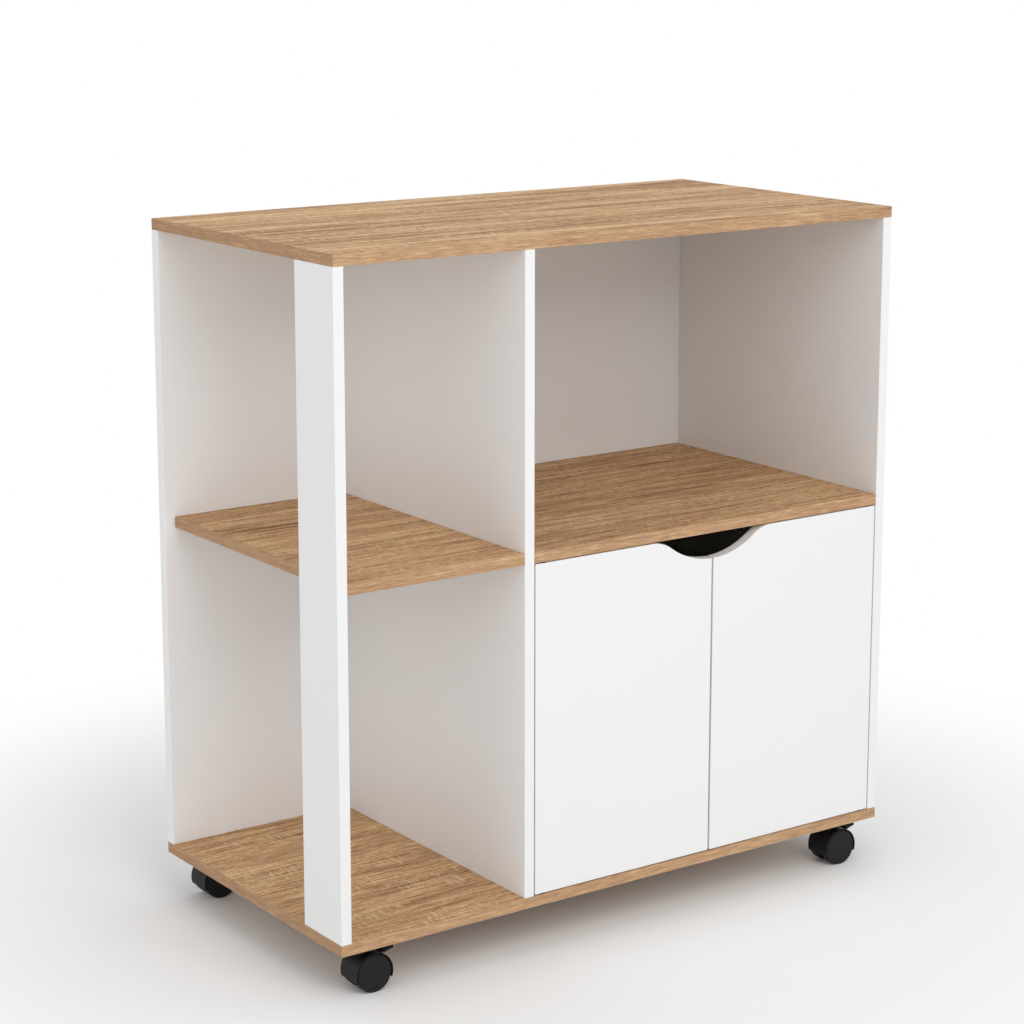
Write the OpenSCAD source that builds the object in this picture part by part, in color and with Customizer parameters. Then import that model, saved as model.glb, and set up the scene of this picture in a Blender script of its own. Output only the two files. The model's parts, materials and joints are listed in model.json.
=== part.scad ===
// Kitchen cart on four twin-wheel casters: an open shelf bay on the left, a wide open bay at the
// upper right, and a cupboard with two inset doors below it.
// Millimetres. X runs to the right, Y to the back, Z up from the floor. The origin is the middle
// of the footprint on the floor.

/* [Cabinet] */
// Width of the worktop
cabinet_w = 900; // [780:10:1200]
// Depth of the worktop
cabinet_d = 460; // [400:10:600]
// Thickness of every board but the back
board_t = 15; // [13:1:22]
// Thickness of the back board
back_t = 16; // [13:1:22]
// Width of the open bay on the left, from the end of the cart to the divider
left_bay_w = 280; // [240:5:360]
// Clear height under the two shelves
lower_bay_h = 449; // [380:1:600]
// Clear height over the two shelves
upper_bay_h = 389; // [300:1:500]
// Depth of the post at the front left corner
post_d = 90; // [85:1:140]
// Chamfer of the edge banding
edge_chamfer = 0.5; // [0.2:0.1:1]

/* [Doors] */
// Gap between a door and the board beside it
door_side_gap = 2; // [1.8:0.1:3]
// Gap over the doors
door_top_gap = 1.5; // [1.4:0.1:3]
// Gap under the doors
door_bottom_gap = 1.5; // [1.4:0.1:3]
// Gap between the two doors
door_middle_gap = 3; // [2:0.1:5]
// Half the width of the finger scoop that the two doors share
scoop_half_w = 102; // [90:1:115]
// Depth of the finger scoop below the top of the doors
scoop_depth = 33.5; // [28:0.5:38]
// Radius of the bowl of the finger scoop
scoop_bowl_r = 121; // [100:1:140]

/* [Door pivots] */
// Diameter of the steel pivot pins
pivot_pin_d = 5; // [4:0.5:5.5]
// Distance from a door's hinge edge to its pivot
pivot_from_edge = 13; // [12.5:0.1:18]
// Distance from a door's front to its pivot
pivot_from_front = 6.5; // [6.2:0.1:7]
// Length of a pivot pin inside the door
pivot_pin_grip = 15; // [10:1:25]
// Outside diameter of the plastic bushing
bushing_d = 8; // [7:0.1:9]
// Depth of the bushing in the board
bushing_depth = 10; // [8:0.5:11]
// Diameter of the bushing's flange
bushing_flange_d = 12; // [10:0.1:12.2]
// Thickness of the bushing's flange
bushing_flange_t = 1.2; // [0.8:0.1:1.2]

/* [Door catch] */
// Width of the catch between its two magnets, centre to centre
catch_magnet_pitch = 28; // [24:1:40]
// Width of one magnet
magnet_w = 12; // [8:1:14]
// Height of one magnet
magnet_h = 5; // [4:0.5:6]
// How far a magnet stands out of the catch
magnet_proud = 0.8; // [0.4:0.1:1.2]
// Length of a magnet inside the catch
magnet_seat = 8; // [5:0.5:9]
// Wall of the catch beyond each magnet
catch_wall = 3; // [1.5:0.5:5]
// Depth of the catch's housing
catch_depth = 16; // [14:0.5:24]
// Height of the catch's housing
catch_h = 13; // [12.5:0.5:16]
// Length of the screw ear at each end of the catch
catch_ear = 10; // [9:0.5:14]
// Thickness of the screw ears
catch_ear_t = 3; // [2:0.5:4]
// Gap between a magnet and its strike plate
catch_gap = 0.3; // [0.2:0.1:0.8]
// Width of a strike plate
strike_w = 16; // [13:1:18]
// Height of a strike plate
strike_h = 9; // [8:0.5:10]
// Distance from a door's lower edge to its strike plate
strike_lift = 1; // [0.5:0.5:2]
// Thickness of a strike plate
strike_t = 1.2; // [1:0.1:2]

/* [Fittings] */
// Diameter of a cam disc
cam_d = 15; // [12:0.5:18]
// Board left behind a cam disc
cam_floor = 3; // [2:0.5:4]
// Distance from the end of a board to the centre of its cam disc
cam_setback = 24; // [20:1:34]
// Diameter of a cam bolt's shank
cam_bolt_d = 6; // [5:0.1:6.4]
// Diameter of a cam bolt's head
cam_head_d = 7; // [6.6:0.1:7.2]
// Length of a cam bolt's head
cam_head_l = 3; // [2:0.5:4]
// Diameter of the hole along a board for a cam bolt
cam_bolt_hole_d = 7.6; // [7.4:0.1:8]
// Board left beyond the thread of a cam bolt
cam_bolt_cover = 4; // [3:0.5:5]
// Diameter of a wooden dowel
dowel_d = 8; // [6:0.5:9]
// Length of a wooden dowel
dowel_l = 30; // [25:1:40]
// Board left beyond the end of a wooden dowel
dowel_cover = 5; // [3:0.5:6]
// Thread diameter of an assembly screw
screw_d = 6; // [5:0.1:7]
// Head diameter of an assembly screw
screw_head_d = 10; // [9:0.5:11]
// Height of the tapered head of an assembly screw
screw_head_h = 4; // [3:0.5:5]
// Length of an assembly screw
screw_l = 50; // [40:1:60]
// Distance across the flats of the screw's hexagonal socket
screw_socket = 4; // [3:0.5:4]
// Depth of the screw's hexagonal socket
screw_socket_depth = 3; // [2:0.5:4]
// Shank diameter of the small screws in the catch and the strike plates
small_screw_d = 3; // [2.5:0.1:3.5]
// Head diameter of the small screws
small_head_d = 6; // [5:0.1:6.5]
// Length of the small screws in the board
small_screw_l = 10; // [8:0.5:11]
// Radial clearance of a screw or bolt in its hole
fastener_clearance = 0.05; // [0.02:0.01:0.1]
// Radial clearance of a turning pin or axle in its bore
running_clearance = 0.05; // [0.02:0.01:0.1]

/* [Fitting places] */
// Distance from the front of the cart to the post's bolt and screw
post_fix_y = 45; // [40:1:48]
// Distance from the front of the cart to the divider's front bolt and screw
divider_fix_y = 60; // [50:1:80]
// Distance from the front of the cart to the side's front bolt and screw
side_fix_y = 235; // [200:1:250]
// Distance from the front of the cart to the side's front dowel
side_dowel_y = 60; // [40:1:100]
// Distance from the back board to the rear bolts and screws of the divider and the side
rear_fix_y = 70; // [50:1:80]
// Distance from each end of the cart to the outer bolts and screws of the back board
back_fix_x = 120; // [100:1:140]
// Distance from the front of the cart and from the back board to the bolts of the shelves
shelf_fix_y = 110; // [100:1:130]
// Distance from each end of the upright boards to the screws through the back board
back_screw_z = 100; // [60:1:140]
// Distance from the ends of a shelf to the screws through the back board
shelf_screw_x = 110; // [60:1:120]
// Distance from a bolt or screw to the wooden dowel beside it
dowel_step = 28; // [24:1:32]

/* [Casters] */
// Height of a caster from the floor to the board over it
caster_h = 67; // [66:1:80]
// Diameter of a wheel
wheel_d = 50; // [46:0.5:51]
// Width of one of the two wheels
wheel_w = 13; // [11:0.5:16]
// Thickness of the hood's web between the wheels
web_w = 12; // [12:0.5:14]
// Gap between the web and a wheel
wheel_side_gap = 0.5; // [0.4:0.1:0.8]
// Distance that the wheels trail behind the swivel axis
caster_trail = 6; // [5:0.5:8]
// Distance from each end of the cart to the swivel axes
swivel_from_end = 54; // [50:1:80]
// Distance from the front of the cart to the front swivel axes
swivel_from_front = 38; // [36:1:60]
// Distance from the back of the cart to the rear swivel axes
swivel_from_back = 24; // [23:1:60]
// Side of the square mounting plate
plate_w = 40; // [38:0.5:44]
// Thickness of the mounting plate
plate_t = 2.5; // [2:0.1:3]
// Corner radius of the mounting plate
plate_corner_r = 4; // [3:0.5:6]
// Spacing of the mounting plate's screws
plate_screw_pitch = 30; // [29:0.5:31]
// Thread diameter of the mounting plate's screws
plate_screw_d = 4; // [3.5:0.1:4.5]
// Length of the mounting plate's screws in the board
plate_screw_l = 11; // [8:0.5:11]
// Head diameter of the mounting plate's screws
plate_head_d = 7.5; // [7:0.1:8]
// Head height of the mounting plate's screws
plate_head_h = 2; // [1.5:0.1:2.2]
// Diameter of the swivel pin
swivel_pin_d = 8; // [7:0.1:8.5]
// Diameter of the swivel pin's collar
swivel_collar_d = 16; // [14:0.5:17]
// Thickness of the swivel pin's collar
swivel_collar_t = 2; // [1.5:0.1:2.5]
// Length of the swivel pin in the hood
swivel_pin_l = 24; // [18:0.5:25]
// Diameter of the hood's boss round the swivel pin
boss_d = 20; // [18:0.5:22]
// Gap between the boss and the collar over it
boss_gap = 0.4; // [0.3:0.1:0.8]
// Gap between a wheel's tread and the hood
hood_gap = 1.2; // [0.8:0.1:1.6]
// Thickness of the hood over the wheels
hood_t = 1.3; // [1:0.1:1.6]
// How far the hood reaches down below the axle
hood_skirt = 9; // [7:0.5:11]
// Diameter of the axle
axle_d = 6; // [5:0.1:7]

/* [Wheels] */
// Diameter of a wheel's hub
hub_d = 16; // [14:0.5:18]
// Thickness of a wheel's rim
rim_t = 5; // [4:0.1:5.2]
// Thickness of a wheel's outer face
face_t = 2.5; // [2:0.1:3]
// Chamfer of the tread at the outer face
tread_chamfer = 1.2; // [0.6:0.1:1.6]
// Wheel face left beyond the end of the axle
axle_cover = 2; // [1.5:0.1:2.5]

/* [Brake] */
// Distance from the axle to the lever's pivot
lever_pivot_r = 16.3; // [15:0.1:17]
// Angle of the lever's pivot over the axle
lever_pivot_angle = 47; // [44:1:52]
// Diameter of the lever's pivot pin
lever_pin_d = 3; // [2.5:0.1:3.2]
// Diameter of the lever's barrel
lever_barrel_d = 7; // [6.5:0.1:7.5]
// Thickness of the lever's arm inside the hood
lever_arm_t = 4; // [3:0.1:4.3]
// Width of the lever's arm inside the hood
lever_arm_w = 8; // [6:0.1:8.2]
// Thickness of the pedal's round edges
pedal_t = 4.5; // [4.4:0.1:5.5]
// How far the pedal's round edges stand out of its faces
pedal_lip = 0.3; // [0.2:0.05:0.5]
// Width of the pedal
pedal_w = 19; // [14:0.5:24]
// Length of the pedal between its round edges
pedal_l = 12; // [10:0.5:16]
// Angle over the axle at which the pedal starts
pedal_angle = 48; // [46:1:52]
// Gap between the pedal and the hood when the brake is off
pedal_gap = 0.8; // [0.7:0.1:1.5]
// Slope of the pedal when the brake is off
pedal_slope = 17; // [12:1:20]
// Diameter of the bar that presses on the wheels
dog_d = 3; // [2.6:0.1:3.4]
// Thickness of the link that carries the bar
dog_link_t = 2.4; // [2:0.1:2.5]
// Angle of the bar over the axle when the brake is on
dog_angle = 71; // [69:1:75]
// How far the bar reaches into each wheel
dog_reach = 4; // [2:0.5:6]
// Gap left between the bar and the wheels' rims when the brake is on
brake_gap = 0.35; // [0.3:0.05:0.8]
// Travel of the lever from off to on
lever_travel = 12; // [8:1:14]
// Clearance round the lever in the hood
lever_clearance = 0.35; // [0.3:0.05:0.5]

/* [Hidden] */
$fn = 64;
cut = 1;

// Heights of the boards
base_z = caster_h;
deck_z = base_z + board_t;
shelf_z = deck_z + lower_bay_h;
shelf_top_z = shelf_z + board_t;
top_z = shelf_top_z + upper_bay_h;
upright_h = top_z - deck_z;

// Places of the boards across the cart
left_x = -cabinet_w / 2;
right_x = cabinet_w / 2;
post_x = left_x + board_t;
divider_x = left_x + left_bay_w;
bay_x = divider_x + board_t;
side_x = right_x - board_t;
bay_w = side_x - bay_x;
middle_x = (bay_x + side_x) / 2;

// Places of the boards from front to back
front_y = -cabinet_d / 2;
back_y = cabinet_d / 2;
back_face_y = back_y - back_t;
inner_d = back_face_y - front_y;

// Middles of the upright boards and the shelves
post_mid_x = left_x + board_t / 2;
divider_mid_x = divider_x + board_t / 2;
side_mid_x = side_x + board_t / 2;
back_mid_y = back_face_y + back_t / 2;
shelf_mid_z = shelf_z + board_t / 2;

// Doors
door_w = (bay_w - 2 * door_side_gap - door_middle_gap) / 2;
door_h = lower_bay_h - door_top_gap - door_bottom_gap;
door_z = deck_z + door_bottom_gap;
door_top_z = door_z + door_h;
door_back_y = front_y + board_t;
left_door_x = bay_x + door_side_gap;
right_door_x = side_x - door_side_gap - door_w;
left_pivot_x = left_door_x + pivot_from_edge;
right_pivot_x = right_door_x + door_w - pivot_from_edge;
pivot_y = front_y + pivot_from_front;
pin_end_gap = 0.5;
scoop_shoulder_r = (scoop_half_w * scoop_half_w + scoop_depth * scoop_depth) / (2 * scoop_depth)
    - scoop_bowl_r;
scoop_tangent = [0, scoop_bowl_r - scoop_depth]
    + scoop_bowl_r / (scoop_bowl_r + scoop_shoulder_r)
    * [scoop_half_w, scoop_depth - scoop_shoulder_r - scoop_bowl_r];
scoop_overlap = 0.02;
scoop_seam = 5;

// Door catch
strike_mid_z = door_z + strike_lift + strike_h / 2;
magnet_y = door_back_y + strike_t + catch_gap;
catch_y = magnet_y + magnet_proud;
catch_w = catch_magnet_pitch + magnet_w + 2 * catch_wall;
small_head_h = strike_t;

// Fittings
cam_h = board_t - cam_floor;
cam_slot_w = 2;
cam_slot_l = 8;
cam_slot_depth = 2;
bolt_thread_l = board_t - cam_bolt_cover;
dowel_in_face = board_t - dowel_cover;

// Places of the bolts at the top and the screws at the bottom of the upright boards:
// x, y, the way that the cam's face looks, and half the board's thickness
upright_fixings = [
    [post_mid_x, front_y + post_fix_y, 0, board_t / 2],
    [divider_mid_x, front_y + divider_fix_y, 0, board_t / 2],
    [divider_mid_x, back_face_y - rear_fix_y, 0, board_t / 2],
    [side_mid_x, front_y + side_fix_y, 180, board_t / 2],
    [side_mid_x, back_face_y - rear_fix_y, 180, board_t / 2],
    [left_x + back_fix_x, back_mid_y, 90, back_t / 2],
    [middle_x, back_mid_y, 90, back_t / 2],
    [right_x - back_fix_x, back_mid_y, 90, back_t / 2],
];

// A wooden dowel stands beside each of them, along the board, and one more in the side's front
function along_board(fixing) = fixing[2] == 90 ? [dowel_step, 0] : [0, dowel_step];
upright_dowels = concat(
    [for (fixing = upright_fixings) [fixing[0], fixing[1]] + along_board(fixing)],
    [[side_mid_x, front_y + side_dowel_y]]
);

// Places of the bolts of the shelves: x of the board's face, y, and the way that the bolt looks
shelf_bolt_ys = [front_y + shelf_fix_y, back_face_y - shelf_fix_y];
post_bolt = [post_x, front_y + post_fix_y, 1];
side_bolts = [for (y = shelf_bolt_ys) [side_x, y, -1]];
left_of_divider = [for (y = shelf_bolt_ys) [divider_x, y, -1]];
right_of_divider = [for (y = shelf_bolt_ys) [bay_x, y, 1]];
left_shelf_bolts = concat([post_bolt], left_of_divider);
right_shelf_bolts = concat(right_of_divider, side_bolts);

// Places of the screws through the back board: x and z
back_screw_heights = [deck_z + back_screw_z, top_z - back_screw_z];
back_screws_at = concat(
    [for (x = [divider_mid_x, side_mid_x]) for (z = back_screw_heights) [x, z]],
    [for (x = [post_x + shelf_screw_x, bay_x + shelf_screw_x, side_x - shelf_screw_x])
        [x, shelf_mid_z]]
);

// Casters: name, place of the swivel axis, the side of the cart's outside, and whether it has
// a brake
caster_names = ["front_left", "front_right", "back_left", "back_right"];
swivel_front_y = front_y + swivel_from_front;
swivel_back_y = back_y - swivel_from_back;
casters = [
    ["front_left", left_x + swivel_from_end, swivel_front_y, -1, true],
    ["front_right", right_x - swivel_from_end, swivel_front_y, -1, true],
    ["back_left", left_x + swivel_from_end, swivel_back_y, 1, false],
    ["back_right", right_x - swivel_from_end, swivel_back_y, 1, false],
];
caster_pieces = ["plate", "swivel_pin", "hood", "axle", "outer_wheel", "inner_wheel"];
brake_pieces = ["brake_lever", "lever_pin"];

// Caster sizes
wheel_r = wheel_d / 2;
axle_z = wheel_r;
hood_in_r = wheel_r + hood_gap;
hood_out_r = hood_in_r + hood_t;
caster_w = web_w + 2 * (wheel_side_gap + wheel_w);
plate_z = caster_h - plate_t;
collar_z = plate_z - swivel_collar_t;
boss_z = collar_z - boss_gap;
axle_reach = web_w / 2 + wheel_side_gap + wheel_w - axle_cover;
skirt_z = axle_z - hood_skirt;
axle_end_gap = 0.5;

// Lever, in the plane of the wheels with the axle at 0, 0. The bar's place is set with the brake
// on, and turned back from there
function polar(r, angle) = r * [cos(angle), sin(angle)];
function turned(p, angle) = [p[0] * cos(angle) - p[1] * sin(angle), p[0] * sin(angle) + p[1] * cos(angle)];
lever_pivot = polar(lever_pivot_r, lever_pivot_angle);
pedal_start = polar(hood_out_r + pedal_gap + pedal_t / 2, pedal_angle);
pedal_end = pedal_start + polar(pedal_l, pedal_slope);
dog_on = polar(wheel_r - rim_t - brake_gap - dog_d / 2, dog_angle);
dog_off = lever_pivot + turned(dog_on - lever_pivot, lever_travel);
dog_half_l = web_w / 2 + wheel_side_gap + dog_reach;

// Common shapes

// A rectangle with its corners chamfered
module chamfered_rectangle(a, b) {
    e = edge_chamfer;
    polygon([[e, 0], [a - e, 0], [a, e], [a, b - e], [a - e, b], [e, b], [0, b - e], [0, e]]);
}

// A board with all its edges chamfered, from its lowest corner
module board(size) {
    intersection() {
        linear_extrude(size[2]) chamfered_rectangle(size[0], size[1]);
        translate([0, size[1], 0]) rotate([90, 0, 0])
            linear_extrude(size[1]) chamfered_rectangle(size[0], size[2]);
        rotate([90, 0, 90]) linear_extrude(size[0]) chamfered_rectangle(size[1], size[2]);
    }
}

// A cylinder along Y, centred on its own length
module bar_y(d, l) {
    rotate([90, 0, 0]) cylinder(d = d, h = l, center = true);
}

// Moves to an upright fixing: Z runs down into the board and X comes out of the cam's face
module at_upright(fixing, z) {
    translate([fixing[0], fixing[1], z]) rotate([0, 0, fixing[2]]) rotate([180, 0, 0]) children();
}

// Moves to a shelf's bolt: Z runs into the shelf and X comes out of its underside
module at_shelf_bolt(bolt) {
    translate([bolt[0], bolt[1], shelf_mid_z]) rotate([0, 0, bolt[2] > 0 ? 0 : 180])
        rotate([0, 90, 0]) children();
}

// Fittings and their holes

// Shank and head of a bolt that a cam pulls, from the joint into the board with the cam
module bolt_shank() {
    cylinder(d = cam_bolt_d, h = cam_setback - cam_head_l / 2);
    translate([0, 0, cam_setback - cam_head_l / 2]) cylinder(d = cam_head_d, h = cam_head_l);
}

// A cam bolt with its thread in the other board
module cam_bolt() {
    translate([0, 0, -bolt_thread_l]) cylinder(d = cam_bolt_d, h = bolt_thread_l);
    bolt_shank();
}

module bolt_thread_hole() {
    d = cam_bolt_d + 2 * fastener_clearance;
    translate([0, 0, -bolt_thread_l]) cylinder(d = d, h = bolt_thread_l + cut);
}

// Hole for the bolt's shank and head, and the pocket of the cam disc
module cam_holes(half_t) {
    translate([0, 0, -cut]) cylinder(d = cam_bolt_hole_d, h = cam_setback + cut);
    translate([half_t - cam_h, 0, cam_setback]) rotate([0, 90, 0])
        cylinder(d = cam_d, h = cam_h + cut);
}

// A cam disc with its channel for the bolt's head and its cross slot for a screwdriver
module cam_disc(half_t) {
    difference() {
        translate([half_t - cam_h, 0, cam_setback]) rotate([0, 90, 0])
            cylinder(d = cam_d, h = cam_h);
        cylinder(d = cam_bolt_hole_d, h = cam_setback + cam_head_l);
        for (turn = [0, 90])
            translate([half_t, 0, cam_setback]) rotate([turn, 0, 0])
                cube([2 * cam_slot_depth, cam_slot_l, cam_slot_w], center = true);
    }
}

// An assembly screw that points up from its flush head
module assembly_screw() {
    difference() {
        union() {
            cylinder(d1 = screw_head_d, d2 = screw_d, h = screw_head_h);
            cylinder(d = screw_d, h = screw_l);
        }
        translate([0, 0, -cut])
            cylinder(d = screw_socket / cos(30), h = screw_socket_depth + cut, $fn = 6);
    }
}

module assembly_screw_hole() {
    c = 2 * fastener_clearance;
    cylinder(d1 = screw_head_d + c, d2 = screw_d + c, h = screw_head_h);
    translate([0, 0, -cut]) cylinder(d = screw_d + c, h = screw_l + cut);
}

module at_bottom_screws() {
    for (fixing = upright_fixings) translate([fixing[0], fixing[1], base_z]) children();
}

module at_back_screws() {
    for (place = back_screws_at) translate([place[0], back_y, place[1]]) rotate([90, 0, 0]) children();
}

// Holes for the wooden dowels at one end of the upright boards
module dowel_holes(z) {
    for (spot = upright_dowels)
        translate([spot[0], spot[1], z]) cylinder(d = dowel_d + 2 * fastener_clearance, h = dowel_l);
}

// All the holes that the fittings of the upright boards need, in every board that they meet
module upright_holes() {
    for (fixing = upright_fixings) at_upright(fixing, top_z) {
        bolt_thread_hole();
        cam_holes(fixing[3]);
    }
    dowel_holes(top_z + dowel_in_face - dowel_l);
    dowel_holes(deck_z - dowel_in_face);
    at_bottom_screws() assembly_screw_hole();
    at_back_screws() assembly_screw_hole();
}

// Boards

module worktop() {
    color("burlywood") difference() {
        translate([left_x, front_y, top_z]) board([cabinet_w, cabinet_d, board_t]);
        upright_holes();
    }
}

module bottom_panel() {
    color("burlywood") difference() {
        translate([left_x, front_y, base_z]) board([cabinet_w, cabinet_d, board_t]);
        upright_holes();
        for (x = [left_pivot_x, right_pivot_x])
            translate([x, pivot_y, deck_z]) mirror([0, 0, 1]) bushing_hole();
        at_catch_screws() small_screw_hole();
        for (c = casters) translate([c[1], c[2], 0]) at_plate_screws()
            cylinder(d = plate_screw_d + 2 * fastener_clearance, h = plate_screw_l + plate_t);
    }
}

module back_panel() {
    color("white") difference() {
        translate([left_x, back_face_y, deck_z]) board([cabinet_w, back_t, upright_h]);
        upright_holes();
    }
}

module right_side_panel() {
    color("white") difference() {
        translate([side_x, front_y, deck_z]) board([board_t, inner_d, upright_h]);
        upright_holes();
        for (bolt = side_bolts) at_shelf_bolt(bolt) bolt_thread_hole();
    }
}

module divider_panel() {
    color("white") difference() {
        translate([divider_x, front_y, deck_z]) board([board_t, inner_d, upright_h]);
        upright_holes();
        for (bolt = right_of_divider) at_shelf_bolt(bolt) translate([0, 0, -board_t - cut])
            cylinder(d = cam_bolt_d + 2 * fastener_clearance, h = board_t + 2 * cut);
    }
}

module corner_post() {
    color("white") difference() {
        translate([left_x, front_y, deck_z]) board([board_t, post_d, upright_h]);
        upright_holes();
        at_shelf_bolt(post_bolt) bolt_thread_hole();
    }
}

module left_shelf() {
    color("burlywood") difference() {
        translate([post_x, front_y, shelf_z]) board([divider_x - post_x, inner_d, board_t]);
        for (bolt = left_shelf_bolts) at_shelf_bolt(bolt) cam_holes(board_t / 2);
        at_back_screws() assembly_screw_hole();
    }
}

module right_shelf() {
    color("burlywood") difference() {
        translate([bay_x, front_y, shelf_z]) board([bay_w, inner_d, board_t]);
        for (bolt = right_shelf_bolts) at_shelf_bolt(bolt) cam_holes(board_t / 2);
        at_back_screws() assembly_screw_hole();
        for (x = [left_pivot_x, right_pivot_x]) translate([x, pivot_y, shelf_z]) bushing_hole();
    }
}

// Doors

// The finger scoop: a bowl between two round shoulders, cut through both doors. Its origin is the
// middle of the doors' top edge. The shoulders reach a little into the bowl and over the edge, so
// that no two faces only just touch
module scoop() {
    l = board_t + 2 * cut;
    bowl = [0, scoop_bowl_r - scoop_depth];
    translate([middle_x, door_back_y + cut, door_top_z]) rotate([90, 0, 0]) difference() {
        union() {
            translate([bowl[0], bowl[1], 0]) cylinder(r = scoop_bowl_r, h = l);
            for (s = [-1, 1]) mirror([s < 0 ? 1 : 0, 0, 0]) linear_extrude(l) {
                normal = (scoop_tangent - bowl) / scoop_bowl_r;
                polygon([
                    scoop_tangent - scoop_seam * normal, [scoop_tangent[0], cut],
                    [scoop_half_w, cut], [scoop_half_w, -scoop_shoulder_r / 2],
                    scoop_tangent + scoop_seam * normal,
                ]);
            }
        }
        for (s = [-1, 1])
            translate([s * scoop_half_w, scoop_overlap - scoop_shoulder_r, -cut])
                cylinder(r = scoop_shoulder_r, h = l + 2 * cut);
    }
}

module door(x, pivot_x, strike_x) {
    color("white") difference() {
        translate([x, front_y, door_z]) board([door_w, board_t, door_h]);
        scoop();
        translate([pivot_x, pivot_y, door_z - cut]) cylinder(d = pivot_pin_d, h = pivot_pin_grip + cut);
        translate([pivot_x, pivot_y, door_top_z - pivot_pin_grip])
            cylinder(d = pivot_pin_d, h = pivot_pin_grip + cut);
        at_strike(strike_x) small_screw_hole();
    }
}

module left_door() { door(left_door_x, left_pivot_x, -1); }
module right_door() { door(right_door_x, right_pivot_x, 1); }

// Pins at the bottom and the top of a door's hinge edge
module pivot_pins(x) {
    free_l = bushing_depth - pin_end_gap;
    color("silver") {
        translate([x, pivot_y, deck_z - free_l])
            cylinder(d = pivot_pin_d, h = free_l + door_bottom_gap + pivot_pin_grip);
        translate([x, pivot_y, door_top_z - pivot_pin_grip])
            cylinder(d = pivot_pin_d, h = free_l + door_top_gap + pivot_pin_grip);
    }
}

module left_door_pivot_pins() { pivot_pins(left_pivot_x); }
module right_door_pivot_pins() { pivot_pins(right_pivot_x); }

// A flanged bushing that goes up into a board over z = 0
module bushing() {
    difference() {
        union() {
            cylinder(d = bushing_d, h = bushing_depth);
            translate([0, 0, -bushing_flange_t]) cylinder(d = bushing_flange_d, h = bushing_flange_t);
        }
        translate([0, 0, -bushing_flange_t - cut])
            cylinder(d = pivot_pin_d + 2 * running_clearance, h = bushing_flange_t + bushing_depth + 2 * cut);
    }
}

module bushing_hole() {
    translate([0, 0, -cut]) cylinder(d = bushing_d, h = bushing_depth + cut);
}

module pivot_bushings() {
    color("whitesmoke") for (x = [left_pivot_x, right_pivot_x]) {
        translate([x, pivot_y, deck_z]) mirror([0, 0, 1]) bushing();
        translate([x, pivot_y, shelf_z]) bushing();
    }
}

// Door catch

// Middles of the two ears of the catch, at the deck
module at_catch_screws() {
    for (s = [-1, 1])
        translate([middle_x + s * (catch_w + catch_ear) / 2, catch_y + catch_depth / 2, deck_z + catch_ear_t])
            mirror([0, 0, 1]) children();
}

// Moves to the middle of a strike plate's back face: Z runs into the door
module at_strike(side) {
    translate([middle_x + side * catch_magnet_pitch / 2, door_back_y + strike_t, strike_mid_z])
        rotate([90, 0, 0]) children();
}

// A small screw that points along Z from its flush head
module small_screw() {
    cylinder(d1 = small_head_d, d2 = small_screw_d, h = small_head_h);
    cylinder(d = small_screw_d, h = small_screw_l);
}

module small_screw_hole() {
    c = 2 * fastener_clearance;
    translate([0, 0, -cut]) cylinder(d = small_screw_d + c, h = small_screw_l + cut);
    cylinder(d1 = small_head_d + c, d2 = small_screw_d + c, h = small_head_h);
}

module magnets(clearance) {
    for (s = [-1, 1])
        translate([middle_x + s * catch_magnet_pitch / 2 - magnet_w / 2, magnet_y,
                strike_mid_z - magnet_h / 2])
            cube([magnet_w, magnet_proud + magnet_seat + clearance, magnet_h]);
}

module catch_housing() {
    color("white") difference() {
        union() {
            translate([middle_x - catch_w / 2, catch_y, deck_z]) cube([catch_w, catch_depth, catch_h]);
            translate([middle_x - catch_w / 2 - catch_ear, catch_y, deck_z])
                cube([catch_w + 2 * catch_ear, catch_depth, catch_ear_t]);
        }
        magnets(0);
        at_catch_screws() small_screw_hole();
    }
}

module catch_magnets() { color("dimgray") magnets(0); }
module catch_screws() { color("silver") at_catch_screws() small_screw(); }

module strike_plate(side) {
    color("silver") difference() {
        at_strike(side) translate([-strike_w / 2, -strike_h / 2, 0]) cube([strike_w, strike_h, strike_t]);
        at_strike(side) small_screw_hole();
    }
}

module strike_screw(side) { color("silver") at_strike(side) small_screw(); }

module left_strike_plate() { strike_plate(-1); }
module right_strike_plate() { strike_plate(1); }
module left_strike_screw() { strike_screw(-1); }
module right_strike_screw() { strike_screw(1); }

// Fittings as groups of separate solids

module cam_discs() {
    color("silver") {
        for (fixing = upright_fixings) at_upright(fixing, top_z) cam_disc(fixing[3]);
        for (bolt = concat(left_shelf_bolts, right_shelf_bolts)) at_shelf_bolt(bolt) cam_disc(board_t / 2);
    }
}

module cam_bolts() {
    color("silver") {
        for (fixing = upright_fixings) at_upright(fixing, top_z) cam_bolt();
        for (bolt = concat([post_bolt], side_bolts)) at_shelf_bolt(bolt) cam_bolt();
    }
}

// A bolt through the divider with a head at each end, one for each shelf
module double_cam_bolts() {
    color("silver") for (bolt = right_of_divider) at_shelf_bolt(bolt) {
        bolt_shank();
        translate([0, 0, -board_t]) cylinder(d = cam_bolt_d, h = board_t);
        translate([0, 0, -board_t]) mirror([0, 0, 1]) bolt_shank();
    }
}

module wooden_dowels() {
    color("tan") for (z = [top_z + dowel_in_face - dowel_l, deck_z - dowel_in_face])
        for (spot = upright_dowels)
            translate([spot[0], spot[1], z]) cylinder(d = dowel_d, h = dowel_l);
}

module bottom_screws() { color("silver") at_bottom_screws() assembly_screw(); }
module back_screws() { color("silver") at_back_screws() assembly_screw(); }

// Casters, each in its own frame: the swivel axis is Z, and the floor is at z = 0

module at_plate_screws() {
    for (x = [-1, 1]) for (y = [-1, 1])
        translate([x * plate_screw_pitch / 2, y * plate_screw_pitch / 2, plate_z]) children();
}

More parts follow.
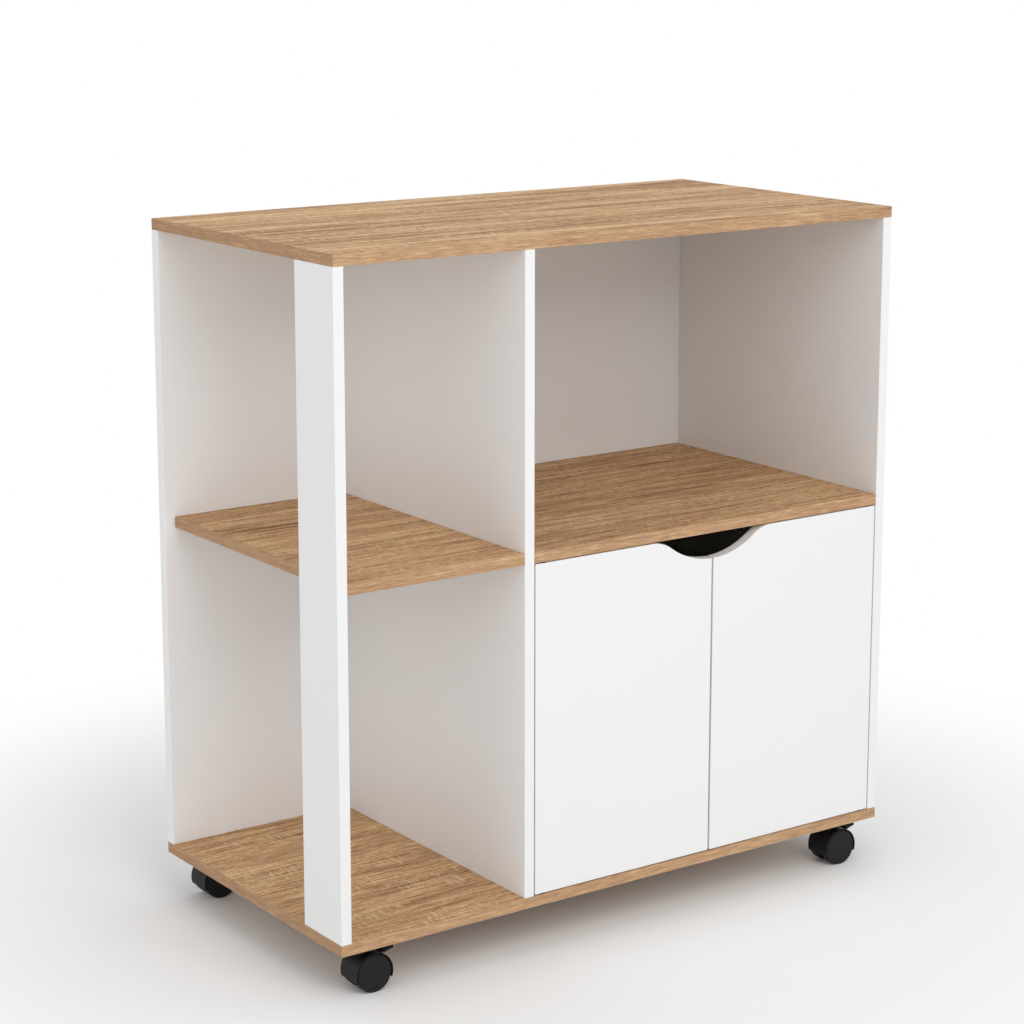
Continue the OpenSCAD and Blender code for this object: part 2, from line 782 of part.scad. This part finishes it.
module plate() {
    side = plate_w - 2 * plate_corner_r;
    color("dimgray") difference() {
        translate([0, 0, plate_z]) union() {
            translate([-plate_w / 2, -side / 2, 0]) cube([plate_w, side, plate_t]);
            translate([-side / 2, -plate_w / 2, 0]) cube([side, plate_w, plate_t]);
            for (x = [-1, 1]) for (y = [-1, 1])
                translate([x * side / 2, y * side / 2, 0]) cylinder(r = plate_corner_r, h = plate_t);
        }
        at_plate_screws() translate([0, 0, -cut])
            cylinder(d = plate_screw_d + 2 * fastener_clearance, h = plate_t + 2 * cut);
        translate([0, 0, plate_z - cut]) cylinder(d = swivel_pin_d, h = plate_t + 2 * cut);
    }
}

module caster_screws() {
    color("silver") for (c = casters) translate([c[1], c[2], 0]) at_plate_screws() {
        cylinder(d = plate_screw_d, h = plate_t + plate_screw_l);
        translate([0, 0, -plate_head_h]) cylinder(d = plate_head_d, h = plate_head_h);
    }
}

// The pin is riveted into the plate and has a collar under it
module swivel_pin() {
    color("silver") {
        translate([0, 0, boss_z - swivel_pin_l])
            cylinder(d = swivel_pin_d, h = caster_h - boss_z + swivel_pin_l);
        translate([0, 0, collar_z]) cylinder(d = swivel_collar_d, h = swivel_collar_t);
    }
}

// Moves to the middle of the wheels
module at_axle() {
    translate([caster_trail, 0, axle_z]) children();
}

module hood(has_brake) {
    color("#2b2b2c") difference() {
        union() {
            at_axle() bar_y(2 * hood_out_r, caster_w);
            translate([0, 0, axle_z]) cylinder(d = boss_d, h = boss_z - axle_z);
        }
        at_axle() for (s = [-1, 1])
            translate([0, s * (web_w + caster_w) / 4 + s * cut / 2, 0])
                bar_y(2 * hood_in_r, (caster_w - web_w) / 2 + cut);
        translate([-wheel_d, -caster_w, skirt_z - wheel_d]) cube([2 * wheel_d, 2 * caster_w, wheel_d]);
        translate([0, 0, boss_z - swivel_pin_l - pin_end_gap])
            cylinder(d = swivel_pin_d + 2 * running_clearance, h = swivel_pin_l + pin_end_gap + cut);
        at_axle() bar_y(axle_d, caster_w);
        if (has_brake) lever_room();
    }
}

module axle() {
    color("silver") at_axle() bar_y(axle_d, 2 * axle_reach - 2 * axle_end_gap);
}

// Section of a wheel: radius across, and up from the inner face to the outer one
module wheel_section() {
    bore_r = axle_d / 2 + running_clearance;
    e = tread_chamfer;
    polygon([
        [bore_r, 0], [hub_d / 2, 0], [hub_d / 2, wheel_w - face_t],
        [wheel_r - rim_t, wheel_w - face_t], [wheel_r - rim_t, 0], [wheel_r - e / 2, 0],
        [wheel_r, e / 2], [wheel_r, wheel_w - e], [wheel_r - e, wheel_w],
        [0, wheel_w], [0, wheel_w - axle_cover], [bore_r, wheel_w - axle_cover],
    ]);
}

module wheel(side) {
    color("#2e2e2f") at_axle() rotate([side * -90, 0, 0]) translate([0, 0, web_w / 2 + wheel_side_gap])
        rotate_extrude($fn = 96) wheel_section();
}

// Brake

// Moves to the lever's pivot
module at_lever() {
    at_axle() translate([lever_pivot[0], 0, lever_pivot[1]]) children();
}

// A straight link between two points in the plane of the wheels, square at its ends
module link(from, to, t, w) {
    run = to - from;
    translate([from[0], 0, from[1]]) rotate([0, -atan2(run[1], run[0]), 0])
        translate([0, -w / 2, -t / 2]) cube([norm(run), w, t]);
}

// The room that a link needs as it turns down about its first point by the lever's travel
module link_room(from, to, t, w) {
    run = to - from;
    off_angle = atan2(run[1], run[0]);
    on_angle = off_angle - lever_travel;
    upper = from + polar(t / 2, off_angle + 90);
    lower = from + polar(t / 2, on_angle - 90);
    rotate([90, 0, 0]) linear_extrude(w, center = true) polygon([
        lower, lower + polar(norm(run), on_angle), upper + polar(norm(run), off_angle), upper,
    ]);
}

// The slot through the web for the bar that presses on the wheels
module dog_slot() {
    run = dog_on - dog_off;
    t = dog_d + 2 * lever_clearance;
    middle = (dog_on + dog_off) / 2;
    translate([middle[0], 0, middle[1]]) rotate([0, -atan2(run[1], run[0]), 0])
        cube([norm(run) + t, web_w + 2 * cut, t], center = true);
}

// Room for the lever in the hood and its web
module lever_room() {
    c = 2 * lever_clearance;
    at_axle() {
        link_room(lever_pivot, pedal_start, lever_arm_t + c, lever_arm_w + c);
        link_room(lever_pivot, dog_off, dog_link_t + c, lever_arm_w + c);
        dog_slot();
    }
    at_lever() {
        bar_y(lever_barrel_d + c, lever_arm_w + c);
        bar_y(lever_pin_d, web_w + 2 * cut);
    }
}

module brake_lever() {
    color("#232324") difference() {
        union() {
            at_lever() bar_y(lever_barrel_d, lever_arm_w);
            at_axle() {
                link(lever_pivot, pedal_start, lever_arm_t, lever_arm_w);
                link(lever_pivot, dog_off, dog_link_t, lever_arm_w);
                link(pedal_start, pedal_end, pedal_t - 2 * pedal_lip, pedal_w);
                for (p = [pedal_start, pedal_end]) translate([p[0], 0, p[1]]) bar_y(pedal_t, pedal_w);
                translate([dog_off[0], 0, dog_off[1]]) bar_y(dog_d, 2 * dog_half_l);
            }
        }
        at_lever() bar_y(lever_pin_d + 2 * running_clearance, web_w);
    }
}

module lever_pin() { color("silver") at_lever() bar_y(lever_pin_d, web_w); }

module caster_piece(piece, c) {
    translate([c[1], c[2], 0]) {
        if (piece == "plate") plate();
        if (piece == "swivel_pin") swivel_pin();
        if (piece == "hood") hood(c[4]);
        if (piece == "axle") axle();
        if (piece == "outer_wheel") wheel(c[3]);
        if (piece == "inner_wheel") wheel(-c[3]);
        if (piece == "brake_lever") brake_lever();
        if (piece == "lever_pin") lever_pin();
    }
}

worktop();
bottom_panel();
back_panel();
right_side_panel();
divider_panel();
corner_post();
left_shelf();
right_shelf();
left_door();
right_door();
left_door_pivot_pins();
right_door_pivot_pins();
pivot_bushings();
catch_housing();
catch_magnets();
catch_screws();
left_strike_plate();
right_strike_plate();
left_strike_screw();
right_strike_screw();
cam_discs();
cam_bolts();
double_cam_bolts();
wooden_dowels();
bottom_screws();
back_screws();
caster_screws();
for (c = casters) for (piece = caster_pieces)
    caster_piece(piece, c);
for (c = casters) if (c[4]) for (piece = brake_pieces)
    caster_piece(piece, c);
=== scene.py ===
# %% [markdown]
# # A kitchen cart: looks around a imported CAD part
#
# The cart is a flat-pack piece: boards in a warm oak decor and in white melamine, standing on four
# twin-wheel casters. The boards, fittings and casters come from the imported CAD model, and this
# script gives them their finishes, a camera, lights and a pale studio floor.

# %% Load the frame
import json
import math
import bmesh
import bpy
import mathutils
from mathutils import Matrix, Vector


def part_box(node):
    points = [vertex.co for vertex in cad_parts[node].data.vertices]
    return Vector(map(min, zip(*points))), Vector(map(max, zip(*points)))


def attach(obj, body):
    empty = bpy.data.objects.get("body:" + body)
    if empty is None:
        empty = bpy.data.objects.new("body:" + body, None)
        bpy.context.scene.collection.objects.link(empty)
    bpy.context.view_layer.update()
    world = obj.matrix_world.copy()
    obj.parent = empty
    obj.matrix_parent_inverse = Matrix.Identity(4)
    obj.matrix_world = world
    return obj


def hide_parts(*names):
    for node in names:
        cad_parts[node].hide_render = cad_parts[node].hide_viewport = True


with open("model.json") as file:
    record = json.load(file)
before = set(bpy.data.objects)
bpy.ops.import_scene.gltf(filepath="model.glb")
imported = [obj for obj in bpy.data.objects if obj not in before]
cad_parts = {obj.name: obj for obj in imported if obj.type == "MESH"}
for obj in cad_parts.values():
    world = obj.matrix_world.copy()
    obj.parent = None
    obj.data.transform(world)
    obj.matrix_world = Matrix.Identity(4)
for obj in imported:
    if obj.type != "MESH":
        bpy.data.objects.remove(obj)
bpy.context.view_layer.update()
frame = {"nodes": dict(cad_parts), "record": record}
nodes = frame["nodes"]
slots = {part["node"]: part["material_slot"] for part in frame["record"]["subparts"]}

# %% [markdown]
# ## A short way to write node trees
#
# A material is easier to read as arithmetic than as a list of links. `Socket` wraps one output of a
# node, so that `a * 2 + b` makes the Math nodes itself. `Tree.node` makes any node from its
# type, its settings and its inputs, and everything below is written with it.


# %% Sockets and trees
class Socket:
    """One output of a node, on which Python's operators make Math nodes."""

    def __init__(self, tree, output):
        self.tree, self.output = tree, output

    def math(self, operation, *others):
        inputs = dict(enumerate((self, *others)))
        return self.tree.node("ShaderNodeMath", inputs, operation=operation)

    def __add__(self, other): return self.math("ADD", other)
    def __sub__(self, other): return self.math("SUBTRACT", other)
    def __mul__(self, other): return self.math("MULTIPLY", other)
    def __pow__(self, other): return self.math("POWER", other)

    def __rsub__(self, other):
        return self.tree.node("ShaderNodeMath", {0: other, 1: self}, operation="SUBTRACT")

    def above(self, edge): return self.math("GREATER_THAN", edge)
    def below(self, edge): return self.math("LESS_THAN", edge)

    def steps(self, low, high, to_low=0.0, to_high=1.0):
        """A smooth ramp from to_low, at low, to to_high, at high."""
        inputs = {"Value": self, "From Min": low, "From Max": high,
                  "To Min": to_low, "To Max": to_high}
        return self.tree.node("ShaderNodeMapRange", inputs, interpolation_type="SMOOTHSTEP")


class Tree:
    """A material's or world's node tree."""

    def __init__(self, node_tree):
        self.nodes, self.links = node_tree.nodes, node_tree.links

    def node(self, kind, inputs=None, out=0, **settings):
        made = self.nodes.new(kind)
        for key, value in settings.items():
            setattr(made, key, value)
        for key, value in (inputs or {}).items():
            target = made.inputs[key]
            if isinstance(value, Socket):
                self.links.new(value.output, target)
            else:
                target.default_value = value
        return Socket(self, made.outputs[out])

    def mix(self, factor, a, b):
        """A colour between a and b."""
        return self.node("ShaderNodeMix", {0: factor, 6: a, 7: b}, out=2, data_type="RGBA")

    def vector(self, x, y, z):
        return self.node("ShaderNodeCombineXYZ", {0: x, 1: y, 2: z})

    def place(self):
        """x, y and z of the point in the cart's own frame, in metres."""
        point = self.node("ShaderNodeTexCoord", out="Object")
        split = self.node("ShaderNodeSeparateXYZ", {0: point}).output.node
        return [Socket(self, output) for output in split.outputs]

    def noise(self, where, scale=1.0, detail=2.0, roughness=0.5):
        inputs = {"Vector": where, "Scale": scale, "Detail": detail, "Roughness": roughness}
        return self.node("ShaderNodeTexNoise", inputs)


def srgb(*values):
    """An 8-bit screen colour as the linear one that a shader takes."""
    line = [v / 255 for v in values]
    return tuple(v / 12.92 if v <= 0.04045 else ((v + 0.055) / 1.055) ** 2.4 for v in line) + (1.0,)


def darker(colour, share):
    """A share of a linear colour."""
    return tuple(value * share for value in colour[:3]) + (1.0,)


def material(name, **constants):
    """A new material, its tree and its Principled node."""
    made = bpy.data.materials.new(name)
    made.use_nodes = True
    shader = made.node_tree.nodes["Principled BSDF"]
    for key, value in constants.items():
        shader.inputs[key.replace("_", " ")].default_value = value
    return made, Tree(made.node_tree), shader


def feed(tree, shader, **sockets):
    for key, socket in sockets.items():
        tree.links.new(socket.output, shader.inputs[key.replace("_", " ")])


def bump(tree, shader, height, distance):
    """Relief on a surface, as high as the distance in metres."""
    normal = tree.node("ShaderNodeBump", {"Height": height, "Distance": distance, "Strength": 1.0})
    tree.links.new(normal.output, shader.inputs["Normal"])


# %% [markdown]
# ## Oak decor
#
# The worktop, the bottom panel and the two shelves are particleboard under a printed oak paper, with
# a plastic band of the same print glued to each edge. A photograph of wood could be laid on them,
# but a print made of noises has no seams and no limit of sharpness, and each board gets its own
# figure.
#
# Every layer of the print is a noise that is stretched far along the grain: broad staves, bands,
# streaks, the fine lines between them, and pores and pale flecks, which are short dashes. Growth
# rings are a sine wave whose phase bends, and they come and go. A few thin cracks and one long one
# on each board are much darker. Faint saw marks cross the grain in patches.
#
# On the short ends the band's grain runs along its own length, so x and y change places there. The
# underside of the bottom panel fades towards a grey backing paper. The decor reads the point's place
# in metres, so the first two numbers of each layer are features per metre.


# %% Oak decor
# For each layer: features per metre along and across the grain, the noise's detail and roughness.
GRAIN = {
    "wander": (2.2, 9.0, 2.0, 0.5),
    "stave": (0.8, 13.0, 1.0, 0.5),
    "band": (1.4, 34.0, 1.0, 0.5),
    "streak": (3.0, 95.0, 4.0, 0.6),
    "line": (8.0, 330.0, 3.0, 0.65),
    "fleck": (36.0, 480.0, 2.0, 0.6),
    "pore": (60.0, 1100.0, 1.0, 0.5),
    "pale_fleck": (26.0, 560.0, 2.0, 0.5),
    "weave": (260.0, 110.0, 1.0, 0.5),
    "ring_bend": (1.1, 5.5, 1.0, 0.4),
    "ring_here": (1.6, 11.0, 1.0, 0.5),
    "crack": (2.6, 62.0, 1.0, 0.5),
    "crack_here": (3.5, 9.0, 1.0, 0.5),
    "saw_mark": (330.0, 55.0, 1.0, 0.5),
    "saw_here": (6.0, 14.0, 1.0, 0.5),
}
OAK = {
    "light": srgb(231, 196, 151),
    "plain": srgb(192, 153, 116),
    "dark": srgb(140, 101, 72),
    "pore": srgb(124, 88, 60),
    "pale_fleck": srgb(232, 200, 158),
    "crack": srgb(112, 76, 52),
    "saw_mark": srgb(230, 200, 160),
    "edge": srgb(182, 148, 120),
    "short_edge": srgb(160, 128, 104),
    "backing": srgb(186, 182, 178),
}
EDGE_BAND = 0.0007
WANDER = 0.010
RING_PITCH, RING_SWAY, RING_PHASE = 330.0, 75.0, 37.5
CRACK_CORE, CRACK_RIM = 0.001, 0.006
# For each board: the long crack's centre along and across it, and half its length.
LONG_CRACKS = {
    "worktop": (-0.36, -0.022, 0.1),
    "bottom_panel": (0.06, 0.05, 0.12),
    "left_shelf": (-0.33, 0.07, 0.09),
    "right_shelf": (0.2, -0.05, 0.13),
}
# How bold the figure is, and how far apart in the noise two boards are cut.
FIGURE = {"worktop": 1.2, "bottom_panel": 0.7, "left_shelf": 0.7, "right_shelf": 0.7}
BOARD_SPACING = 4.7


def oak_decor(name, low, high, seed):
    """The print on one board, which reaches from its lowest to its highest corner."""
    made, tree, shader = material("oak_" + name, Roughness=0.55, Specular_IOR_Level=0.01)
    x, y, z = tree.place()
    short_end = x.below(low.x + EDGE_BAND).math("MAXIMUM", x.above(high.x - EDGE_BAND))
    long_edge = y.below(low.y + EDGE_BAND).math("MAXIMUM", y.above(high.y - EDGE_BAND))
    edge = short_end.math("MAXIMUM", long_edge)
    face = 1 - edge
    along = x + (y - x) * short_end + seed
    across = y + (x - y) * short_end

    def grain(layer):
        per_m_along, per_m_across, detail, roughness = GRAIN[layer]
        where = tree.vector(along * per_m_along, across * per_m_across, z * per_m_across)
        return tree.noise(where, detail=detail, roughness=roughness) - 0.5

    across = across + grain("wander") * WANDER
    line, pore = grain("line"), grain("pore")
    phase = across * RING_PITCH + grain("ring_bend") * RING_SWAY + RING_PHASE
    ring = phase.math("SINE") * grain("ring_here").steps(-0.12, 0.18)
    figure = grain("stave") * 0.3 + grain("band") * 0.8 + grain("streak") * 1.2 + ring * 0.11
    tone = (figure * FIGURE[name] + line * 2.0) * (1 - edge * 0.65)
    tone = tone + grain("fleck") * (edge * 0.3 + 0.9) + grain("weave") * face * 0.5

    crack = grain("crack").steps(0.185, 0.235) * grain("crack_here").steps(0.02, 0.1)
    saw_mark = grain("saw_mark").steps(0.03, 0.18) * grain("saw_here").steps(-0.06, 0.1)
    centre_x, centre_y, half_length = LONG_CRACKS[name]
    near = (across - centre_y).math("ABSOLUTE").steps(CRACK_CORE, CRACK_RIM, 1.0, 0.0)
    within = (x - centre_x).math("ABSOLUTE").steps(half_length * 0.5, half_length, 1.0, 0.0)
    layers = [
        ("dark", tone.steps(-0.5, 0.0, 1.0, 0.0)),
        ("pore", pore.steps(0.04, 0.18) * 0.45),
        ("pale_fleck", grain("pale_fleck").steps(0.1, 0.2) * face * 0.6),
        ("crack", crack * 0.75),
        ("saw_mark", saw_mark * face * 0.6),
        ("edge", edge * 0.3),
        ("short_edge", short_end * 0.35),
        ("crack", near * within * face * 0.7),
    ]
    if name == "bottom_panel":
        layers.append(("backing", z.below(low.z + EDGE_BAND) * 0.38))
    colour = tree.mix(tone.steps(-0.05, 0.4), OAK["plain"], OAK["light"])
    for tint, cover in layers:
        colour = tree.mix(cover, colour, OAK[tint])
    feed(tree, shader, Base_Color=colour, Roughness=line * 0.2 + 0.5)
    bump(tree, shader, line * 0.6 + pore * 0.4, 0.00008)
    return made


oak = {name: oak_decor(name, *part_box(name), seed=number * BOARD_SPACING)
       for number, name in enumerate(LONG_CRACKS)}
print("oak decor boards:", list(oak))

# %% [markdown]
# ## White melamine
#
# The upright boards, the back and the doors are white melamine. It is nearly even in colour, with a
# very fine pearl texture pressed into it. A flat white would look like paper, so the colour drifts
# by a hair over each board and a small bump breaks up the gloss.


# %% White melamine
def white_melamine(name, colour):
    made, tree, shader = material(name, Roughness=0.4)
    spot = tree.vector(*tree.place())
    pearl = tree.noise(spot, scale=900.0)
    cloud = tree.noise(spot, scale=5.0)
    shade = tree.mix(cloud, darker(colour, 0.985), colour)
    feed(tree, shader, Base_Color=shade, Roughness=pearl * 0.1 + 0.36)
    bump(tree, shader, pearl, 0.00003)
    return made


white = white_melamine("white_melamine", srgb(240, 240, 240))
print("white boards:", [node for node, slot in slots.items() if slot == "white_board"])

# %% [markdown]
# ## Metal and plastic
#
# The fittings are plain steel and zinc, and the casters are black nylon with a soft gloss. Each gets a
# little variation, since no real surface is perfectly even: a cloud in colour and gloss, and on the
# plastics the fine grain of the mould.


# %% Metal and plastic
def metal(name, colour, roughness):
    made, tree, shader = material(name, Metallic=1.0, Roughness=roughness)
    cloud = tree.noise(tree.vector(*tree.place()), scale=300.0, detail=3.0)
    shade = tree.mix(cloud, darker(colour, 0.85), colour)
    feed(tree, shader, Base_Color=shade, Roughness=cloud * 0.2 + (roughness - 0.1))
    return made


def plastic(name, colour, roughness, gloss=0.5):
    made, tree, shader = material(name, Roughness=roughness, Specular_IOR_Level=gloss)
    spot = tree.vector(*tree.place())
    cloud = tree.noise(spot, scale=120.0, detail=3.0)
    mould_grain = tree.noise(spot, scale=1800.0, detail=1.0)
    shade = tree.mix(cloud, darker(colour, 0.9), colour)
    feed(tree, shader, Base_Color=shade, Roughness=cloud * 0.12 + (roughness - 0.06))
    bump(tree, shader, mould_grain, 0.00002)
    return made


finishes = {
    "steel": metal("zinc_plated_steel", (0.62, 0.62, 0.63, 1), 0.32),
    "zinc": metal("die_cast_zinc", (0.5, 0.51, 0.53, 1), 0.45),
    "caster_metal": plastic("black_coated_steel", srgb(28, 28, 29), 0.42, gloss=0.3),
    "black_plastic": plastic("black_nylon", srgb(20, 20, 21), 0.45, gloss=0.2),
    "wheel_plastic": plastic("black_wheel_nylon", srgb(34, 34, 35), 0.5, gloss=0.15),
    "white_plastic": plastic("white_plastic", srgb(232, 232, 228), 0.4),
    "ferrite": plastic("dark_ferrite", srgb(62, 60, 60), 0.7),
    "beech": plastic("plain_beech", srgb(200, 165, 120), 0.6),
    "white_board": white,
}
for name, node in nodes.items():
    finish = oak.get(name) or finishes[slots[name]]
    node.data.materials.clear()
    node.data.materials.append(finish)
print("finished:", len(nodes), "nodes")

# %% [markdown]
# ## Wheels
#
# Each caster wheel is a nylon disc with a rounded tread, a low lip round its outer face and a deep
# recess round its hub on the inner side. Cylinders with bevelled rims would do for the outside, but
# every feature is a ring, so the wheel is turned, as on a lathe: half of its section is drawn as
# a chain of edges, `spin` carries the chain round the axle, and `bevel` rounds the sharp rings. The
# section lies inside the CAD wheel, so it clears the hood and the brake just as that does.


# %% A turned wheel
MM = 0.001
SPIN_STEPS = 96
BORE_R, HUB_R, RIM_WIDTH, FACE_THICK, AXLE_COVER = 3.05 * MM, 8 * MM, 5 * MM, 2.5 * MM, 2 * MM
LIP_WIDTH, LIP_RISE, LIP_EDGE = 2.2 * MM, 0.3 * MM, 0.12 * MM
INNER_EDGE, HUB_FILLET, RIM_FILLET = 0.3 * MM, 0.5 * MM, 0.8 * MM
TREAD_INNER_EDGE, TREAD_OUTER_EDGE = 0.7 * MM, 1.3 * MM
SAME_PLACE = 1e-6
FLAT_NORMAL = 0.999


def wheel_section(radius, width):
    """Corners as radius, distance from the inner face, and the rounding of that ring."""
    rim_in, floor_in, face = radius - RIM_WIDTH, width - FACE_THICK, width - LIP_RISE
    lip_in = radius - LIP_WIDTH
    return [
        (0, width - AXLE_COVER, 0), (BORE_R, width - AXLE_COVER, 0),
        (BORE_R, 0, INNER_EDGE), (HUB_R, 0, INNER_EDGE),
        (HUB_R, floor_in, HUB_FILLET), (rim_in, floor_in, RIM_FILLET),
        (rim_in, 0, INNER_EDGE), (radius, 0, TREAD_INNER_EDGE),
        (radius, width, TREAD_OUTER_EDGE), (lip_in, width, LIP_EDGE),
        (lip_in - LIP_RISE, face, LIP_EDGE), (0, face, 0),
    ]


def turned_wheel(name, node, side):
    """A wheel that fills a CAD wheel's box, with its outer face towards side, -1 or 1 along Y."""
    low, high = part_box(node)
    radius, width = (high.z - low.z) / 2, high.y - low.y
    section = wheel_section(radius, width)
    bm = bmesh.new()
    chain = [bm.verts.new((r, t, 0)) for r, t, rounding in section]
    edges = [bm.edges.new(pair) for pair in zip(chain, chain[1:])]
    bmesh.ops.spin(bm, geom=chain + edges, cent=(0, 0, 0), axis=(0, 1, 0), dvec=(0, 0, 0),
                   angle=2 * math.pi, steps=SPIN_STEPS, use_merge=True)
    bmesh.ops.remove_doubles(bm, verts=bm.verts[:], dist=1e-7)
    for r, t, rounding in section:
        if rounding:
            on_ring = {v for v in bm.verts if abs(math.hypot(v.co.x, v.co.z) - r) < SAME_PLACE
                       and abs(v.co.y - t) < SAME_PLACE}
            ring = [e for e in bm.edges if on_ring.issuperset(e.verts)]
            bmesh.ops.bevel(bm, geom=ring, offset=rounding, segments=3, profile=0.5,
                            affect="EDGES", material=-1)
    bmesh.ops.scale(bm, vec=(1, side, 1), verts=bm.verts[:])
    inner_y = low.y if side > 0 else high.y
    middle = ((low.x + high.x) / 2, inner_y, (low.z + high.z) / 2)
    bmesh.ops.translate(bm, vec=middle, verts=bm.verts[:])
    bmesh.ops.recalc_face_normals(bm, faces=bm.faces[:])
    for face in bm.faces:
        face.smooth = abs(face.normal.y) < FLAT_NORMAL
    mesh = bpy.data.meshes.new(name)
    bm.to_mesh(mesh)
    bm.free()
    made = bpy.data.objects.new(name, mesh)
    bpy.context.collection.objects.link(made)
    made.data.materials.append(finishes["wheel_plastic"])
    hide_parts(node)
    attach(made, node + "_roller")
    return made


# %% [markdown]
# ## Eight wheels
#
# Two wheels share each caster's axle, with their open sides towards the swivel pin between them. All
# eight could be copies of one mesh, but each is turned in its own place, so that its object stays at
# the origin as the CAD's nodes do, and it rolls with the body of the wheel that it replaces.


# %% Eight wheels
for caster in ("front_left", "front_right", "back_left", "back_right"):
    swivel_y = sum(corner.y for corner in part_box(caster + "_swivel_pin")) / 2
    for place in ("outer", "inner"):
        node = "{}_{}_wheel".format(caster, place)
        middle_y = sum(corner.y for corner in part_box(node)) / 2
        wheel = turned_wheel(node + "_turned", node, 1 if middle_y > swivel_y else -1)

# %% [markdown]
# ## Floor and surround
#
# The floor is a matt, nearly white sheet that catches the cart's soft shadow. Away from the cart it
# fades to pure white for the camera and for reflections, so that it has no edge or horizon. A plain
# large plane with a radial fade does this, and every other ray still meets the same matt floor, so
# the light on the cart doesn't change. The surround is treated alike: white to look at, and dimmer
# as a light.


# %% Floor and world
def seen_directly(tree):
    """1 for what the camera, a reflection or a see-through surface shows, 0 for the light itself."""
    camera_ray, glossy_ray, through_ray = [
        tree.node("ShaderNodeLightPath", out=kind)
        for kind in ("Is Camera Ray", "Is Glossy Ray", "Is Transmission Ray")]
    return (camera_ray + glossy_ray + through_ray).math("MINIMUM", 1.0)


FLOOR_SIDE = 60
FLOOR_GREY = 0.93
FADE_START, FADE_END = 0.45, 1.25
WHITE = (1, 1, 1, 1)

bpy.ops.mesh.primitive_plane_add(size=FLOOR_SIDE)
floor = bpy.context.object
floor.name = "studio_floor"
matt, tree, shader = material("studio_floor", Roughness=0.9, Specular_IOR_Level=0.0,
                              Base_Color=(FLOOR_GREY, FLOOR_GREY, FLOOR_GREY, 1))
x, y, z = tree.place()
reach = (x * x + y * y) ** 0.5
fade = reach.steps(FADE_START, FADE_END) * seen_directly(tree)
glow = tree.node("ShaderNodeEmission", {"Color": WHITE, "Strength": 1.0})
surface = tree.node("ShaderNodeMixShader", {0: fade, 1: Socket(tree, shader.outputs[0]), 2: glow})
tree.links.new(surface.output, matt.node_tree.nodes["Material Output"].inputs["Surface"])
floor.data.materials.append(matt)

SKY_LIGHT = 0.666

world = bpy.data.worlds.new("studio")
bpy.context.scene.world = world
world.use_nodes = True
sky = Tree(world.node_tree)
strength = seen_directly(sky) * (1.0 - SKY_LIGHT) + SKY_LIGHT
background = world.node_tree.nodes["Background"]
background.inputs["Color"].default_value = WHITE
sky.links.new(strength.output, background.inputs["Strength"])
print("sky light:", SKY_LIGHT, "floor fades from", FADE_START, "to", FADE_END, "m")

# %% [markdown]
# ## Lamps
#
# Most light comes evenly from the white surround. A large softbox high in front makes the fronts the
# brightest faces, a weak one on the left lifts the end of the cart, and a weaker one overhead
# brightens the worktop. All are wide, so that no shadow has a hard edge.


# %% Lamps
AIM = mathutils.Vector((0, 0, 0.45))


def softbox(name, place, side, power):
    lamp = bpy.data.lights.new(name, "AREA")
    lamp.shape, lamp.size, lamp.energy = "SQUARE", side, power
    made = bpy.data.objects.new(name, lamp)
    bpy.context.collection.objects.link(made)
    made.location = place
    made.rotation_euler = (AIM - mathutils.Vector(place)).to_track_quat("-Z", "Y").to_euler()
    print(name, "at", place, power, "W")


softbox("front_softbox", (-0.5, -4.0, 3.4), 3.0, 79)
softbox("left_softbox", (-3.6, -1.2, 2.2), 2.5, 14)
softbox("top_softbox", (0.2, -0.6, 4.2), 3.0, 7)

# %% [markdown]
# ## Camera
#
# The cart is seen from its front left corner, from a little above, with a long lens that keeps the
# boards' edges nearly parallel. The place, the angles and the lens were fitted to the corners of the
# boards. A shift of the frame would keep the uprights parallel, as a studio camera does. Only a small
# one is used, and the rest is tilt, so that the same camera also frames the cart from other sides.

# %% Camera
YAW, PITCH = math.radians(35.1875), math.radians(11.2202)

camera = bpy.data.objects.new("camera", bpy.data.cameras.new("camera"))
bpy.context.collection.objects.link(camera)
camera.location = (-2.04221, -2.85650, 1.34645)
camera.rotation_euler = (math.pi / 2 - PITCH, 0, -YAW)
camera.data.lens = 91.716
camera.data.sensor_width = 36.0
camera.data.shift_y = -0.08
bpy.context.scene.camera = camera
bpy.context.scene.view_settings.view_transform = "Standard"
print("camera at", tuple(camera.location), "lens", camera.data.lens, "mm")
